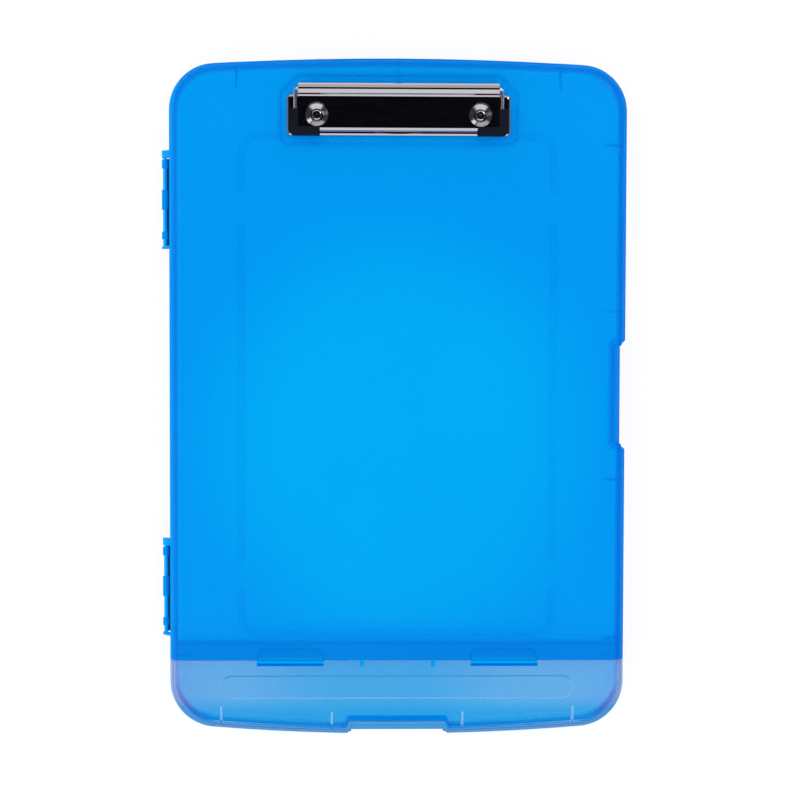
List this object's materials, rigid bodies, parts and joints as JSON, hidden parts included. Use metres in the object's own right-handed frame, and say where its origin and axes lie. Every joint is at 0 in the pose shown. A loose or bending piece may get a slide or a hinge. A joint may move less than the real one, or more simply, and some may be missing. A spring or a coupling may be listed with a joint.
{
  "type": "storage clipboard box",
  "caption": "Flat storage box for sheets and pens with a side-hinged lid, a separate hinged pen lid and a low spring clip on the lid.",
  "frame": {"origin": "centre of the flat underside, midway between the two long sides of the body", "axes": "+X towards the opening side, +Y towards the clip end, +Z out of the writing face"},
  "size_m": [0.2442, 0.3557, 0.0308],
  "materials": {
    "blue_plastic": "translucent, satin",
    "clear_plastic": "translucent, frosted",
    "chrome_sheet": "bright",
    "spring_wire": "bright",
    "black_rubber": "matte",
    "rivet_metal": "bright"
  },
  "bodies": {
    "base": {"base_shell": "blue_plastic"},
    "lid": {"main_lid": "blue_plastic", "clip_base_plate": "chrome_sheet", "rivet_left": "rivet_metal", "rivet_right": "rivet_metal", "washer_left": "rivet_metal", "washer_right": "rivet_metal"},
    "pen_cover": {"pen_lid": "clear_plastic"},
    "jaw": {"clip_jaw": "chrome_sheet", "clip_spring_wire": "spring_wire", "rubber_corner_left": "black_rubber", "rubber_corner_right": "black_rubber"}
  },
  "joints": [
    {"name": "main_lid_hinge", "type": "hinge", "parent": "base", "child": "lid", "pos_m": [-0.1226, 0, 0.013], "axis": [0, -1, 0], "range_deg": [0, 175]},
    {"name": "pen_lid_hinge", "type": "hinge", "parent": "base", "child": "pen_cover", "pos_m": [0, -0.13865, 0.0231], "axis": [-1, 0, 0], "range_deg": [0, 95]},
    {"name": "clip_jaw_hinge", "type": "hinge", "parent": "lid", "child": "jaw", "pos_m": [0, 0.1607, 0.0276], "axis": [-1, 0, 0], "range_deg": [0, 35], "stiffness_Nm_per_rad": 0.35, "springref_deg": -34.38}
  ]
}
